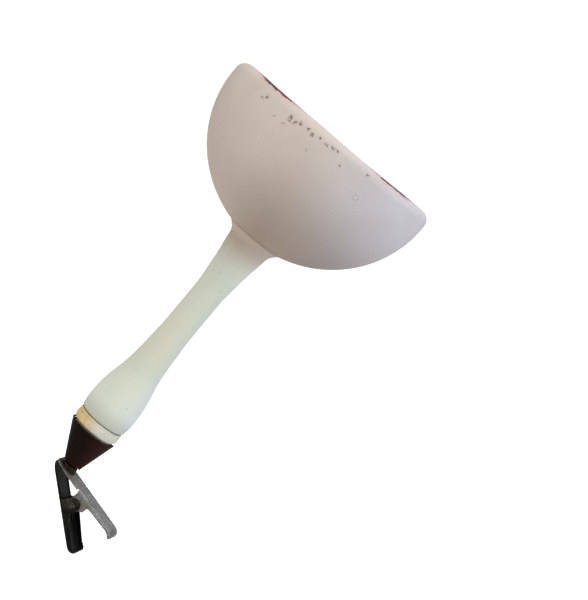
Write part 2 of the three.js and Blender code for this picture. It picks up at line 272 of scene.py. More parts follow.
class Tree:
    """Short ways to write a material's nodes. Positions are in millimetres along the object's axes."""

    def __init__(self, name):
        self.material = bpy.data.materials.new(name)
        self.material.use_nodes = True
        self.nodes = self.material.node_tree.nodes
        self.links = self.material.node_tree.links
        self.shader = self.nodes["Principled BSDF"]
        place = self.nodes.new("ShaderNodeTexCoord")
        scale = self.nodes.new("ShaderNodeVectorMath")
        scale.operation = "SCALE"
        scale.inputs["Scale"].default_value = 1 / MM
        self.links.new(place.outputs["Object"], scale.inputs[0])
        self.place = scale.outputs[0]

    def set(self, **values):
        """Fixed values on the shader's own sockets; a name's _ stands for a space."""
        for name, value in values.items():
            self.shader.inputs[name.replace("_", " ")].default_value = value

    def feed(self, node, socket, value):
        """Links value to a socket, or sets it if it is a plain number or colour."""
        if isinstance(value, bpy.types.NodeSocket):
            self.links.new(value, node.inputs[socket])
        else:
            node.inputs[socket].default_value = value

    def math(self, operation, a, b):
        node = self.nodes.new("ShaderNodeMath")
        node.operation = operation
        self.feed(node, 0, a)
        self.feed(node, 1, b)
        return node.outputs[0]

    def times(self, a, b):
        return self.math("MULTIPLY", a, b)

    def distance_from(self, point):
        """Distance from a fixed point to the shaded one."""
        node = self.nodes.new("ShaderNodeVectorMath")
        node.operation = "DISTANCE"
        self.feed(node, 0, self.place)
        self.feed(node, 1, point)
        return node.outputs["Value"]

    def wobble(self, value, noise, size):
        """The value with noise added, centred on nought and size across."""
        return self.math("ADD", value, self.times(self.math("SUBTRACT", noise, 0.5), size))

    def axis(self, name):
        node = self.nodes.new("ShaderNodeSeparateXYZ")
        self.links.new(self.place, node.inputs[0])
        return node.outputs[name]

    def attribute(self, name):
        node = self.nodes.new("ShaderNodeAttribute")
        node.attribute_name = name
        return node.outputs["Fac"]

    def noise(self, size, detail=3.0, rough=0.55, stretch=(1, 1, 1)):
        """Noise whose blobs are about size millimetres across, stretched along an axis."""
        where = self.nodes.new("ShaderNodeMapping")
        where.inputs["Scale"].default_value = [1 / part for part in stretch]
        self.links.new(self.place, where.inputs["Vector"])
        node = self.nodes.new("ShaderNodeTexNoise")
        node.inputs["Scale"].default_value = 1 / size
        node.inputs["Detail"].default_value = detail
        node.inputs["Roughness"].default_value = rough
        self.links.new(where.outputs[0], node.inputs["Vector"])
        return node.outputs["Fac"]

    def cells(self, size):
        """Distance to the nearest of scattered points about size millimetres apart, 0 to 1."""
        node = self.nodes.new("ShaderNodeTexVoronoi")
        node.inputs["Scale"].default_value = 1 / size
        self.links.new(self.place, node.inputs["Vector"])
        return node.outputs["Distance"]

    def fade(self, value, low, high, to_low=0.0, to_high=1.0):
        """Smooth step from to_low to to_high as value goes from low to high."""
        node = self.nodes.new("ShaderNodeMapRange")
        node.interpolation_type = "SMOOTHSTEP"
        self.feed(node, "Value", value)
        node.inputs["From Min"].default_value = low
        node.inputs["From Max"].default_value = high
        node.inputs["To Min"].default_value = to_low
        node.inputs["To Max"].default_value = to_high
        return node.outputs[0]

    def mix(self, share, a, b):
        """Colour a where share is 0 and b where it is 1."""
        node = self.nodes.new("ShaderNodeMix")
        node.data_type = "RGBA"
        self.feed(node, 0, share)
        self.feed(node, 6, a)
        self.feed(node, 7, b)
        return node.outputs[2]

    def bump(self, height, depth, below=None):
        """Bump whose height of 0 to 1 is depth millimetres."""
        node = self.nodes.new("ShaderNodeBump")
        node.inputs["Distance"].default_value = depth * MM
        self.links.new(height, node.inputs["Height"])
        if below is not None:
            self.links.new(below, node.inputs["Normal"])
        return node.outputs[0]

    def finish(self, colour, roughness, normal):
        self.feed(self.shader, "Base Color", colour)
        self.feed(self.shader, "Roughness", roughness)
        self.links.new(normal, self.shader.inputs["Normal"])
        return self.material


def colour(red, green, blue):
    """A colour given as it looks on a screen, 0 to 255, as the shader's linear values."""
    def linear(part):
        part /= 255
        return part / 12.92 if part <= 0.04045 else ((part + 0.055) / 1.055) ** 2.4
    return (linear(red), linear(green), linear(blue), 1.0)


# ---------------------------------------------------------------- materials

# Worn specks of the top's paint on the cap's side: sideways and down from the edge's front, and size
PAINT_SPECKS = [
    (-20.9, 3.4, 0.55), (-21.9, 4.2, 0.35), (-12.7, 3.4, 0.6), (-11.0, 3.7, 0.65), (-9.7, 3.2, 0.55),
    (-12.4, 4.2, 0.5), (-13.0, 5.8, 0.35), (-7.1, 2.8, 0.5), (-5.6, 3.2, 0.55), (-3.4, 2.7, 0.5),
    (-1.2, 2.9, 0.45), (0.8, 2.6, 0.5), (2.2, 2.3, 0.5), (1.2, 2.6, 0.4), (4.9, 4.9, 0.4),
    (12.1, 2.1, 0.5), (-16.2, 5.8, 0.3), (-4.1, 7.4, 0.35),
]
BLISTER = (13.3, 8.6)         # a small raised blister with a painted highlight in its middle and painted shade round it, placed like a speck


def cap_side_point(sideways, down):
    """The place on the cap's front that far sideways and down from the edge's top."""
    z = CAP_RIM_Z + CAP_TOP_ABOVE_RIM - EDGE_SAG - down
    middle = CAP_RIM_Z - CAP_WIDEST_BELOW_RIM
    below = max(0.0, middle - z)
    radius = CAP_RADIUS * math.sqrt(1 - (below / CAP_DEPTH) ** 2)
    return (sideways, -math.sqrt(radius ** 2 - sideways ** 2), z)


def cap_tones_and_painted_shade(tree, fine):
    """The frosted glass's tones, warmer at -X, with painted shade and light in them: darker low down
    towards the stem, darker still low towards +X, and a cool painted tint high towards +X.
    """
    across = tree.axis("X")
    low = tree.mix(tree.fade(across, -18, 2), colour(200, 182, 166), colour(158, 137, 121))
    low = tree.mix(tree.fade(across, 0, 24), low, colour(128, 116, 110))
    high = tree.mix(tree.fade(across, -10, 24), colour(209, 198, 187), colour(206, 203, 209))
    body = tree.mix(tree.fade(tree.axis("Z"), 84, 117), low, high)
    patches = tree.noise(26, 2, 0.5)
    body = tree.mix(tree.fade(patches, 0.35, 0.7, 0.0, 0.3), body, colour(176, 158, 148))
    return tree.mix(tree.times(tree.fade(fine, 0.5, 0.75), 0.14), body, colour(140, 124, 114))


def add_specks(tree, fine, body):
    """The colour body with specks of worn paint on it."""
    specks = None
    for sideways, down, size in PAINT_SPECKS:
        away = tree.wobble(tree.distance_from(cap_side_point(sideways, down)), fine, 3.2)
        speck = tree.fade(away, size * 0.5, size * 1.15, 1.0, 0.0)
        specks = speck if specks is None else tree.math("MAXIMUM", specks, speck)
    faded = tree.fade(tree.noise(1.6, 2), 0.5, 0.66)
    smudge = tree.mix(faded, colour(116, 50, 60), colour(132, 112, 108))
    return tree.mix(tree.times(specks, 0.75), body, smudge)


def cap_material():
    tree = Tree("frosted_cap_glass")
    tree.set(Specular_IOR_Level=0.4)
    fine = tree.noise(0.5, 4, 0.6)
    grain = tree.noise(0.16, 2, 0.5)
    body = cap_tones_and_painted_shade(tree, fine)

    ragged = tree.wobble(tree.attribute("above_paint_line"), fine, 1.4)
    blush = tree.times(tree.fade(ragged, -1.6, 0.1), 0.35)
    body = tree.mix(blush, body, colour(196, 150, 152))
    body = add_specks(tree, fine, body)
    painted = tree.fade(ragged, -0.12, 0.12)
    streaks = tree.fade(tree.noise(1.2, 3), 0.35, 0.7)
    paint = tree.mix(streaks, colour(74, 14, 26), colour(112, 30, 44))
    body = tree.mix(painted, body, paint)

    # The blister: raised in the bump, with a painted highlight in its middle and a ring of painted
    # shade round it
    away = tree.distance_from(cap_side_point(*BLISTER))
    raised_with_highlight = tree.fade(away, 0.2, 0.6, 0.8, 0.0)
    ring = tree.times(tree.fade(away, 0.4, 0.6), tree.fade(away, 0.65, 1.0, 1.0, 0.0))
    body = tree.mix(tree.times(ring, 0.22), body, colour(120, 104, 100))
    body = tree.mix(raised_with_highlight, body, colour(224, 221, 222))

    roughness = tree.fade(fine, 0.2, 0.8, 0.5, 0.66)
    height_map = tree.math("ADD", tree.times(fine, 0.6), tree.times(painted, 0.5))
    normal = tree.bump(grain, 0.012, tree.bump(height_map, 0.05, tree.bump(raised_with_highlight, 0.25)))
    return tree.finish(body, roughness, normal)


def stem_material():
    tree = Tree("frosted_stem_glass")
    tree.set(Specular_IOR_Level=0.4)
    height = tree.axis("Z")
    patches = tree.noise(9, 3, 0.5)
    fine = tree.noise(0.6, 4, 0.6)
    body = tree.mix(tree.fade(patches, 0.35, 0.65), colour(206, 212, 198), colour(213, 213, 193))
    body = tree.mix(tree.fade(height, 42, 26, 0.0, 0.7), body, colour(222, 228, 214))
    # Painted light: lighter and cooler towards +X, the side the cool light falls on
    body = tree.mix(tree.fade(tree.axis("X"), 2, 7.5), body, colour(218, 224, 224))
    # Pinkish overspray of the cap's paint near the top, darkened as painted shade under the cap, more
    # so towards +X
    blush = tree.mix(tree.fade(tree.axis("X"), -6, 7), colour(198, 179, 160), colour(180, 164, 153))
    body = tree.mix(tree.fade(height, 73, 84.2), body, blush)
    # Painted shade: darker at the bottom of the bulb, just above the collar
    painted_shade_low = tree.times(tree.fade(height, 25, 19.5), 0.4)
    body = tree.mix(painted_shade_low, body, colour(160, 158, 140))
    pits = tree.fade(tree.cells(1.7), 0.07, 0.16, 1.0, 0.0)
    pits = tree.times(pits, tree.fade(tree.noise(4, 1), 0.5, 0.62))
    body = tree.mix(tree.times(pits, 0.5), body, colour(140, 140, 122))
    roughness = tree.fade(fine, 0.2, 0.8, 0.45, 0.62)
    dents = tree.math("SUBTRACT", tree.times(fine, 0.5), pits)
    normal = tree.bump(dents, 0.05, tree.bump(patches, 0.25))
    return tree.finish(body, roughness, normal)


def plaster_material():
    tree = Tree("plaster")
    tree.set(Specular_IOR_Level=0.25)
    lumps = tree.noise(1.1, 4, 0.6)
    fine = tree.noise(0.25, 3, 0.6)
    # Painted light and shade: whiter on the lit +X side, creamier in shade at -X, and whitened again
    # on the lit side over the lumps
    white = tree.fade(tree.axis("X"), -4.5, 2.5)
    body = tree.mix(white, colour(226, 200, 146), colour(216, 211, 196))
    body = tree.mix(tree.fade(lumps, 0.45, 0.75), body, colour(200, 168, 116))
    body = tree.mix(tree.times(white, 0.6), body, colour(216, 214, 206))
    # Painted shade in the collar's fold, read from the crease attribute
    crease = tree.attribute("crease")
    body = tree.mix(crease, body, colour(112, 96, 48))
    roughness = tree.fade(fine, 0.2, 0.8, 0.7, 0.95)
    normal = tree.bump(fine, 0.06, tree.bump(lumps, 0.25))
    return tree.finish(body, roughness, normal)


def wire_material():
    tree = Tree("lacquered_wire")
    tree.set(Metallic=0.1, Specular_IOR_Level=0.12)
    broad = tree.noise(2.4, 3, 0.6)
    fine = tree.noise(0.3, 3, 0.6, (1, 1, 0.5))
    # Painted light and shade: near-black at -X, lit reddish brown towards +X
    side = tree.fade(tree.axis("X"), -4, 6)
    body = tree.mix(side, colour(6, 3, 2), colour(48, 20, 13))
    body = tree.mix(tree.fade(broad, 0.4, 0.7, 0.0, 0.5), body, colour(20, 9, 6))
    # Light reddish streaks: painted highlights along the turns, and worn lacquer
    body = tree.mix(tree.times(tree.fade(fine, 0.58, 0.72), 0.6), body, colour(70, 34, 20))
    roughness = tree.fade(fine, 0.3, 0.7, 0.45, 0.65)
    normal = tree.bump(fine, 0.03)
    return tree.finish(body, roughness, normal)


def solder_material():
    tree = Tree("dull_solder")
    tree.set(Metallic=0.7)
    lumps = tree.noise(0.9, 3, 0.6)
    body = tree.mix(tree.fade(lumps, 0.35, 0.7), colour(22, 10, 8), colour(46, 24, 18))
    # Painted highlights: near-white glints on the crests of the lumps
    body = tree.mix(tree.fade(lumps, 0.68, 0.72), body, colour(210, 205, 200))
    roughness = tree.fade(lumps, 0.3, 0.7, 0.35, 0.65)
    return tree.finish(body, roughness, tree.bump(lumps, 0.15))


def tin_material(name, dark, middle, bright, wear, rubbed_and_lit=None, painted_coil_shade=None):
    """Stamped sheet with mottled tin, scratches along the lever and dark tarnish.

    The rubbed colour shows through near the pin's near end: bare metal rubbed clean, and painted light
    on the flush ear plate; its number is how far along X from that end it sits.
    The coil-shade colour is painted shade that darkens the sheet towards its jaws, under the coil.
    """
    tree = Tree(name)
    tree.set(Metallic=0.75)
    mottle = tree.noise(0.55, 5, 0.7)
    broad = tree.noise(4.0, 3, 0.55)
    scratches = tree.noise(0.35, 3, 0.6, (14, 1, 14))
    body = tree.mix(tree.fade(mottle, 0.36, 0.62), dark, middle)
    body = tree.mix(tree.times(tree.fade(broad, 0.55, 0.35), 0.6), body, dark)
    # Painted shade: the sheet darkens towards its jaws, under the coil; the pits in it are real wear
    if painted_coil_shade:
        share = tree.times(tree.fade(tree.axis("X"), 10, 1), 0.75)
        body = tree.mix(share, body, painted_coil_shade)
        pits = tree.times(tree.fade(tree.noise(0.28, 3, 0.6), 0.62, 0.7), 0.8)
        body = tree.mix(pits, body, colour(30, 28, 26))
    # A patch near the pin's near end: rubbed bare metal, brightened also as painted light on the flush
    # ear plate
    if rubbed_and_lit:
        rubbed_and_lit_colour, along_x = rubbed_and_lit
        near_end = Vector(HINGE["pos_m"]) / MM + Vector(HINGE["axis"]).normalized() * PIN_HALF_LENGTH
        away = tree.distance_from(near_end + Vector((along_x, 0, 0.6)))
        worn = tree.fade(mottle, 0.44, 0.6, 0.15, 0.9)
        share = tree.times(tree.fade(away, 2.4, 3.4, 1.0, 0.0), worn)
        body = tree.mix(share, body, rubbed_and_lit_colour)
    body = tree.mix(tree.times(tree.fade(scratches, 0.6, 0.72), wear), body, bright)
    roughness = tree.fade(mottle, 0.3, 0.7, 0.6, 0.36)
    normal = tree.bump(mottle, 0.035, tree.bump(scratches, 0.02))
    return tree.finish(body, roughness, normal)


def make_materials():
    return {
        "cap": cap_material(),
        "stem": stem_material(),
        "plaster": plaster_material(),
        "wire": wire_material(),
        "solder": solder_material(),
        "worn_tin": tin_material(
            "worn_tin", colour(104, 104, 104), colour(160, 159, 159), colour(222, 222, 222), 0.5,
            rubbed_and_lit=(colour(132, 124, 96), 2.4), painted_coil_shade=colour(100, 88, 84),
        ),
        # Cut edges: bare metal, brighter still as a painted highlight where the edges catch the light
        "bare_edge_and_highlight": tin_material(
            "bare_edge_and_highlight", colour(96, 92, 84), colour(196, 193, 184), colour(235, 234, 228), 0.7,
        ),
        "dark_tin": tin_material(
            "dark_tin", colour(4, 5, 3), colour(21, 22, 18), colour(104, 104, 98), 0.25,
            rubbed_and_lit=(colour(66, 59, 50), -1.4),
        ),
        "pin_steel": tin_material(
            "pin_steel", colour(34, 30, 26), colour(84, 77, 66), colour(150, 140, 124), 0.4,
        ),
        "spring_steel": tin_material(
            "spring_steel", colour(18, 17, 16), colour(56, 52, 46), colour(120, 112, 100), 0.4,
        ),
    }


# ---------------------------------------------------------------- mushroom

def cap_outline(inset, side_steps, edge_steps, dish_steps):
    """Outline of the cap's outer or inner face from the neck's end to the middle of the top."""
    middle = CAP_RIM_Z - CAP_WIDEST_BELOW_RIM
    wide = CAP_RADIUS - inset
    deep = CAP_DEPTH - inset
    edge = CAP_EDGE_RADIUS - inset
    top = CAP_RIM_Z + CAP_TOP_ABOVE_RIM - inset
    start = math.asin((CAP_NECK_RADIUS - inset) / wide)
    points = [(CAP_NECK_END_Z, CAP_NECK_RADIUS - inset)]
    for i in range(side_steps + 1):
        angle = start + (math.pi / 2 - start) * i / side_steps
        points.append((middle - deep * math.cos(angle), wide * math.sin(angle)))
    for i in range(5):
        points.append((middle + (top - edge - middle) * (i + 1) / 5, wide))
    for i in range(1, edge_steps + 1):
        angle = math.pi / 2 * i / edge_steps
        points.append((top - edge + edge * math.sin(angle), wide - edge + edge * math.cos(angle)))
    for i in range(1, dish_steps + 1):
        radius = (wide - edge) * (1 - i / dish_steps)
        sink = CAP_DISH * 0.5 * (1 + math.cos(math.pi * radius / (wide - edge)))
        points.append((top - sink, max(0.0, radius)))
    return points


def edge_drop(x, y):
    """How far the cap's edge has sagged and tilted at a place round it."""
    sag = EDGE_SAG * 0.5 * (1 + math.cos(2 * math.atan2(x, -y)))
    return sag + EDGE_TILT * (x + CAP_RADIUS) / (2 * CAP_RADIUS)


def cap_warp(x, y, z):
    """Hand-blown unevenness: a wavy edge that sags at front and back, and soft dents."""
    angle = math.atan2(x, -y)
    upper = smoothstep(z, CAP_RIM_Z - 14, CAP_RIM_Z + 1)
    wave = EDGE_SAG * 0.12 * math.sin(3 * angle + 0.6) ** 2
    z -= upper * (edge_drop(x, y) + wave)
    swell = noise.noise(Vector((x, y, z)) * 0.05)
    shrink = 1 - 0.003 * (1 + swell)
    return (x * shrink, y * shrink, z)


def paint_line(x, y):
    """Height above the edge's top where the top's paint ends, round the cap's edge."""
    turn = math.degrees(math.atan2(x, -y))
    left = smoothstep(turn, -62, -46) * (1 - smoothstep(turn, -34, -16))
    right = smoothstep(turn, 18, 30) * (1 - smoothstep(turn, 44, 62))
    far = smoothstep(abs(turn), 84, 110) * (0.5 + 0.5 * math.sin(5 * math.radians(turn)))
    return 0.5 - 1.15 * left - 0.95 * right - 0.9 * far


def build_cap(materials):
    outer = cap_outline(0.0, 56, 14, 30)
    inner = cap_outline(CAP_WALL, 40, 6, 16)
    shell = lathe("cap_shell", inner[::-1] + outer, 160, [materials["cap"]], cap_warp)
    top = CAP_RIM_Z + CAP_TOP_ABOVE_RIM
    values = []
    for vertex in shell.data.vertices:
        x, y, z = vertex.co / MM
        inwards = max(0.0, CAP_RADIUS - CAP_EDGE_RADIUS * 0.7 - math.hypot(x, y))
        values.append(z + edge_drop(x, y) - top + inwards - paint_line(x, y))
    add_attribute(shell, "above_paint_line", values)
    return shell


def stem_outer(z):
    """The stem's outside radius at a height."""
    return smooth_radius(STEM_OUTLINE, z)


def build_stem(materials):
    top = STEM_OUTLINE[0][0]
    foot = STEM_OUTLINE[-1][0]
    tail = STEM_TAIL_RADIUS
    shoulder = STEM_TAIL_TOP_Z
    outer = [(STEM_TAIL_END_Z, tail), (shoulder - 0.3, tail)]
    outer += [(shoulder + 0.4, tail + 1.3), (shoulder + 0.9, tail + 2.2)]
    steps = 120
    heights = [foot + (top - foot) * i / steps for i in range(steps + 1)]
    outer += [(z, stem_outer(z)) for z in heights]
    # The flared lip that the cap sits on, out and back in
    outer += [(top + 0.12, 8.22), (top + 0.26, 8.36), (top + 0.37, 8.45), (top + 0.32, 8.25)]
    outer += [(top + 0.25, 7.9), (top + 0.17, 7.5), (top + 0.1, 7.2)]
    inner = [(z, stem_outer(z) - STEM_WALL) for z in reversed(heights[6::4])]
    inner += [(shoulder + 0.6, tail - STEM_WALL), (STEM_TAIL_END_Z, tail - STEM_WALL)]

    def warp(x, y, z):
        swell = noise.noise(Vector((x * 0.2, y * 0.2, z * 0.12)))
        shrink = 1 - 0.006 * (1 + swell)
        return (x * shrink, y * shrink, z)

    return lathe("stem_shell", outer + inner, 96, [materials["stem"]], warp)


def build_cement(materials):
    """The unseen ring of cement between the stem's mouth and the cap's neck."""
    heights = [77.6, 78.0, 79.4, 81.0, 82.0, 82.4]
    bulge = [0.25, 0.12, 0.12, 0.12, 0.2, 0.35]
    outer = [(z, stem_outer(z) - STEM_WALL - gap) for z, gap in zip(heights, bulge)]
    inner = CAP_NECK_RADIUS + 0.12
    outline = [(heights[0], inner)] + outer + [(heights[-1], inner)]
    ring = lathe("cement_ring", outline, 48, [materials["plaster"]])
    add_attribute(ring, "crease", [0.0] * len(ring.data.vertices))
    return ring


def collar_crease(x, y):
    """How strongly the collar's crease shows at a place round it: from -X round towards -Y."""
    turn = math.degrees(math.atan2(x, -y))
    return smoothstep(turn, -100, -70) * (1 - smoothstep(turn, -35, -5))


def build_collar(materials):
    bore = STEM_TAIL_RADIUS + 0.12
    low = COLLAR_BOTTOM_Z
    outline = [(PLUG_END_Z, bore), (PLUG_END_Z, 4.6), (PLUG_END_Z + 0.3, 4.75)]
    outline += [(low - 0.4, 6.05), (low, 6.25)]
    bead = [                  # (height above the collar's bottom, radius), up the outside and over
        (0.05, 6.7), (0.3, 6.98), (0.7, 7.16), (1.2, 7.26), (1.7, 7.3), (2.1, 7.26), (2.4, 7.16),
        (2.7, 7.14), (3.0, 7.16), (3.25, 7.12), (3.42, 7.0), (3.48, 6.85), (3.35, 6.6), (3.1, 6.2),
    ]
    outline += [(low + up, radius) for up, radius in bead]
    outline += [(STEM_TAIL_TOP_Z - 0.12, bore + 0.3), (STEM_TAIL_TOP_Z - 0.5, bore)]

    def warp(x, y, z):
        radius = math.hypot(x, y)
        if radius < 6.5:
            return (x, y, z)
        lump = noise.noise(Vector((x * 0.55, y * 0.55, z * 0.9)))
        depth = collar_crease(x, y) * math.exp(-((z - low - 2.55) / 0.32) ** 2)
        shrink = 1 - (0.08 * (1 + lump) + 0.28 * depth) / radius
        return (x * shrink, y * shrink, z - 0.1 * (1 + lump) * smoothstep(z, low + 1, low + 4))

    collar = lathe("plaster_bead", outline, 120, [materials["plaster"]], warp)
    # How strongly painted shade darkens the fold at each vertex, for the plaster's material
    values = []
    for vertex in collar.data.vertices:
        x, y, z = vertex.co / MM
        values.append(collar_crease(x, y) * math.exp(-((z - low - 2.5) / 0.25) ** 2) * 0.25)
    add_attribute(collar, "crease", values)
    return collar


# ---------------------------------------------------------------- coil

def coil_point(share):
    """The wire's centre, from the foot at 0 to the top at 1, slightly uneven as wound by hand."""
    angle = 2 * math.pi * COIL_TURNS * share
    uneven = 0.05 * noise.noise(Vector((math.floor(share * COIL_TURNS) * 1.7, angle * 0.16, 4.0)))
    radius = COIL_FOOT["radius"] + (COIL_TOP["radius"] - COIL_FOOT["radius"]) * share + uneven
    x = COIL_FOOT["x"] + (COIL_TOP["x"] - COIL_FOOT["x"]) * share
    z = COIL_FOOT["z"] + (COIL_TOP["z"] - COIL_FOOT["z"]) * share
    return (x + radius * math.cos(angle), radius * math.sin(angle), z)


def build_coil(materials):
    """The wire in two halves, because a piece can bend across one joint only."""
    steps = COIL_TURNS * 44
    half = steps // 2
    path = [coil_point(i / steps) for i in range(steps + 1)]
    lower = tube("coil_lower", path[:half + 1], WIRE_RADIUS, 10, [materials["wire"]])
    upper = tube("coil_upper", path[half:], WIRE_RADIUS, 10, [materials["wire"]])
    return lower, upper


def lever_matrix(lever):
    """From a lever's own frame, with the pin at its origin, to the object's, in millimetres."""
    pin = Vector(HINGE["pos_m"]) / MM
    across = -Vector(HINGE["axis"])
    roll = math.asin(across.z)
    turn = math.atan2(-across.x, across.y)
    clip = Matrix.Rotation(turn, 4, "Z") @ Matrix.Rotation(roll, 4, "X")
    return Matrix.Translation(pin) @ clip @ Matrix.Rotation(lever["slope"], 4, "Y")


def build_solder(materials):
    """A low blob on the carrier lever's back; it ends just below the coil's first turn."""
    from_lever = lever_matrix(CARRIER)
    normal = from_lever.to_3x3() @ Vector((0, 0, 1))
    base = from_lever @ Vector((0, 0, BACK_FROM_PIN + 0.05))
    segments = 48
    rows = 8
    top = COIL_FOOT["z"] - WIRE_RADIUS - SOLDER_BELOW_WIRE
    points = []
    for row in range(rows + 1):
        share = row / rows
        for i in range(segments):
            angle = 2 * math.pi * i / segments
            lump = noise.noise(Vector((math.cos(angle) * 1.3, math.sin(angle) * 1.3, share)))
            radius = SOLDER_RADIUS - 0.1 + 0.12 * lump - 0.3 * share * share
            x = COIL_FOOT["x"] + radius * math.cos(angle)
            y = radius * math.sin(angle)
            floor = base.z - ((x - base.x) * normal.x + (y - base.y) * normal.y) / normal.z
            points.append((x, y, floor + (max(top, floor + 0.1) - floor) * share))
    faces = []
    for row in range(rows):
        for i in range(segments):
            after = (i + 1) % segments
            low = row * segments
            faces.append((low + i, low + after, low + segments + after, low + segments + i))
    faces.append(tuple(reversed(range(segments))))
    faces.append(tuple(rows * segments + i for i in range(segments)))
    return make_piece("solder_blob", points, faces, [materials["solder"]])


# ---------------------------------------------------------------- clip

def bend_line(lever):
    """Half-width of the flat part of a lever's back, where the fold to its side begins."""
    return lever["half_width"] - BEND_RADIUS


def side_reach(depth):
    """How far past the bend line, in the flat sheet, a point of the side at that depth lies."""
    return QUARTER_BEND + depth - BEND_RADIUS


def lever_half_outline(lever):
    """One side of the flat sheet's outline, from the jaw end's middle to the finger end's."""
    line = bend_line(lever)
    jaw_edge = line + side_reach(lever["jaw_flange"])
    finger_edge = line + side_reach(lever["finger_flange"])
    last_edge = line + side_reach(lever["end_flange"])
    pin = line + side_reach(BACK_FROM_PIN)
    lengths = spine(lever)[0]
    start = lengths[0]
    end = lengths[-1]
    ear = lever["ear_from"]
    ear_to = lever["ear_to"]
    points = [(start, 0.0), (start, line * 0.8), (start + 0.25, line * 0.94)]
    points += [(start + 1.0, line + 0.2), (start + 2.6, jaw_edge - 0.25), (start + 4.0, jaw_edge)]
    if lever["relief"]:
        points += [(ear - 0.85, jaw_edge), (ear - 0.8, line + 0.1), (ear - 0.7, line - 0.3)]
        points += [(ear - 0.45, line - 0.3), (ear - 0.35, line + 0.1), (ear - 0.3, jaw_edge)]
    points += [(ear - 0.2, jaw_edge + 0.1), (ear, jaw_edge + 0.4)]
    steps = 14
    for i in range(steps + 1):
        angle = math.pi * i / steps
        points.append((-EAR_RADIUS * math.cos(angle), pin + EAR_RADIUS * math.sin(angle)))
    points += [(ear_to, pin - 0.7), (ear_to, finger_edge + 0.4), (ear_to + 0.4, finger_edge)]
    points += [(FINGER_CURL_FROM, last_edge)]
    corner = 1.0
    for i in range(7):
        angle = math.pi / 2 * i / 6
        back = corner * (1 - math.sin(angle))
        inwards = corner * (1 - math.cos(angle))
        points.append((end - back, last_edge - inwards))
    points.append((end, 0.0))
    return points


def spine(lever):
    """The back's outer line in the lever's own frame: lists of distance from the pin, u and w."""
    jaw_end, rise, curve = lever["jaw_end"], lever["jaw_rise"], lever["jaw_curve"]
    line = []
    for i in range(13):
        share = i / 12
        line.append((jaw_end + curve * share, BACK_FROM_PIN + rise * (1 - share) ** 2))
    line.append((0.0, BACK_FROM_PIN))
    end = lever["finger_end"]
    for i in range(17):
        share = i / 16
        keep = 1 - share
        u = keep ** 2 * FINGER_CURL_FROM + 2 * share * keep * (end - 0.2) + share ** 2 * end
        line.append((u, BACK_FROM_PIN - FINGER_CURL * share ** 2))
    line = np.array(line)
    lengths = np.concatenate([[0.0], np.cumsum(np.linalg.norm(np.diff(line, axis=0), axis=1))])
    pin_at = float(np.interp(0.0, line[:, 0], lengths))
    return lengths - pin_at, line[:, 0], line[:, 1]


def fold(lever, curve, u, s):
    """Where a point of the flat sheet goes once its sides are folded and its ends are curled."""
    side = 1 if s >= 0 else -1
    line = bend_line(lever)
    past = abs(s) - line
    if past <= 0:
        across, depth = s, 0.0
    elif past < QUARTER_BEND:
        angle = past / BEND_RADIUS
        across = side * (line + BEND_RADIUS * math.sin(angle))
        depth = BEND_RADIUS * (1 - math.cos(angle))
    else:
        across = side * lever["half_width"]
        depth = BEND_RADIUS + past - QUARTER_BEND
    lengths, along, height = curve
    here_u = float(np.interp(u, lengths, along))
    here_w = float(np.interp(u, lengths, height))
    ahead_u = float(np.interp(u + 0.2, lengths, along)) - float(np.interp(u - 0.2, lengths, along))
    ahead_w = float(np.interp(u + 0.2, lengths, height)) - float(np.interp(u - 0.2, lengths, height))
    size = math.hypot(ahead_u, ahead_w) or 1.0
    u_out = here_u + depth * ahead_w / size
    w_out = here_w - depth * ahead_u / size
    return (u_out, across, w_out * lever["side"])


def inside(point, outline):
    """Whether a point lies inside a closed outline."""
    x, y = point
    found = False
    for i, (x1, y1) in enumerate(outline):
        x2, y2 = outline[i - 1]
        if (y1 > y) != (y2 > y) and x < (x2 - x1) * (y - y1) / (y2 - y1) + x1:
            found = not found
    return found


def clearance(point, outline):
    """Distance from a point to a closed outline."""
    x, y = point
    nearest = 1e9
    for i, (x1, y1) in enumerate(outline):
        x2, y2 = outline[i - 1]
        length = (x2 - x1) ** 2 + (y2 - y1) ** 2 or 1e-9
        share = min(1.0, max(0.0, ((x - x1) * (x2 - x1) + (y - y1) * (y2 - y1)) / length))
        nearest = min(nearest, math.hypot(x - x1 - share * (x2 - x1), y - y1 - share * (y2 - y1)))
    return nearest


def sheet_rows(lever):
    """Distances from the middle line at which the flat sheet has rows of points."""
    line = bend_line(lever)
    deepest = line + side_reach(BACK_FROM_PIN + EAR_RADIUS)
    rows = [line * i / 5 for i in range(6)]
    rows += [line + QUARTER_BEND * i / 6 for i in range(1, 7)]
    while rows[-1] < deepest:
        rows.append(rows[-1] + 0.4)
    return [-row for row in reversed(rows[1:])] + rows


def resample(outline, spacing):
    """The same outline with extra points on its long sides."""
    points = []
    for i, (x1, y1) in enumerate(outline):
        x2, y2 = outline[(i + 1) % len(outline)]
        parts = max(1, round(math.hypot(x2 - x1, y2 - y1) / spacing))
        for part in range(parts):
            points.append((x1 + (x2 - x1) * part / parts, y1 + (y2 - y1) * part / parts))
    return points


